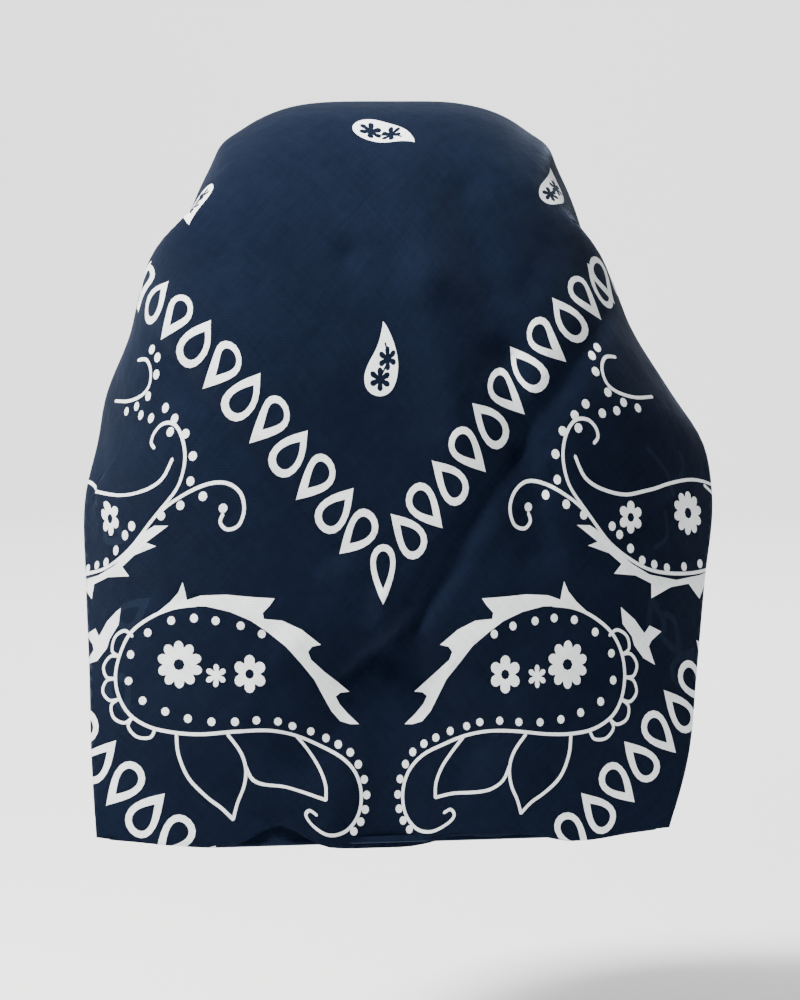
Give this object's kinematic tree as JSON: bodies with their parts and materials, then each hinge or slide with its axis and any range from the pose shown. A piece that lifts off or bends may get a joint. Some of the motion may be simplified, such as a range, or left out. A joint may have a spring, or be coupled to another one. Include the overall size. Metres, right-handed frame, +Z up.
{
  "type": "bandana",
  "caption": "Square printed cotton head kerchief, worn: hollow crown, flap hanging over the tie at the nape, corner tucked up.",
  "frame": {"origin": "the seat inside the crown, where the top of the head carries the cloth", "axes": "+Z up, the back of the head and the flap face -Y, the brow faces +Y, +X to the right seen from behind"},
  "size_m": [0.2195, 0.1901, 0.2556],
  "materials": {
    "printed_cotton": "matt plain-weave cotton, navy with an off-white print",
    "print_ink": "off-white print on the weave",
    "hem_thread": "navy sewing thread"
  },
  "bodies": {
    "root": {"crown_and_flap": "printed_cotton", "under_layer": "printed_cotton", "tucked_corner": "printed_cotton", "side_fold_left": "printed_cotton", "side_fold_right": "printed_cotton", "tie_left": "printed_cotton", "tie_right": "printed_cotton", "tail_left": "printed_cotton", "tail_right": "printed_cotton", "knot": "printed_cotton"}
  },
  "joints": []
}
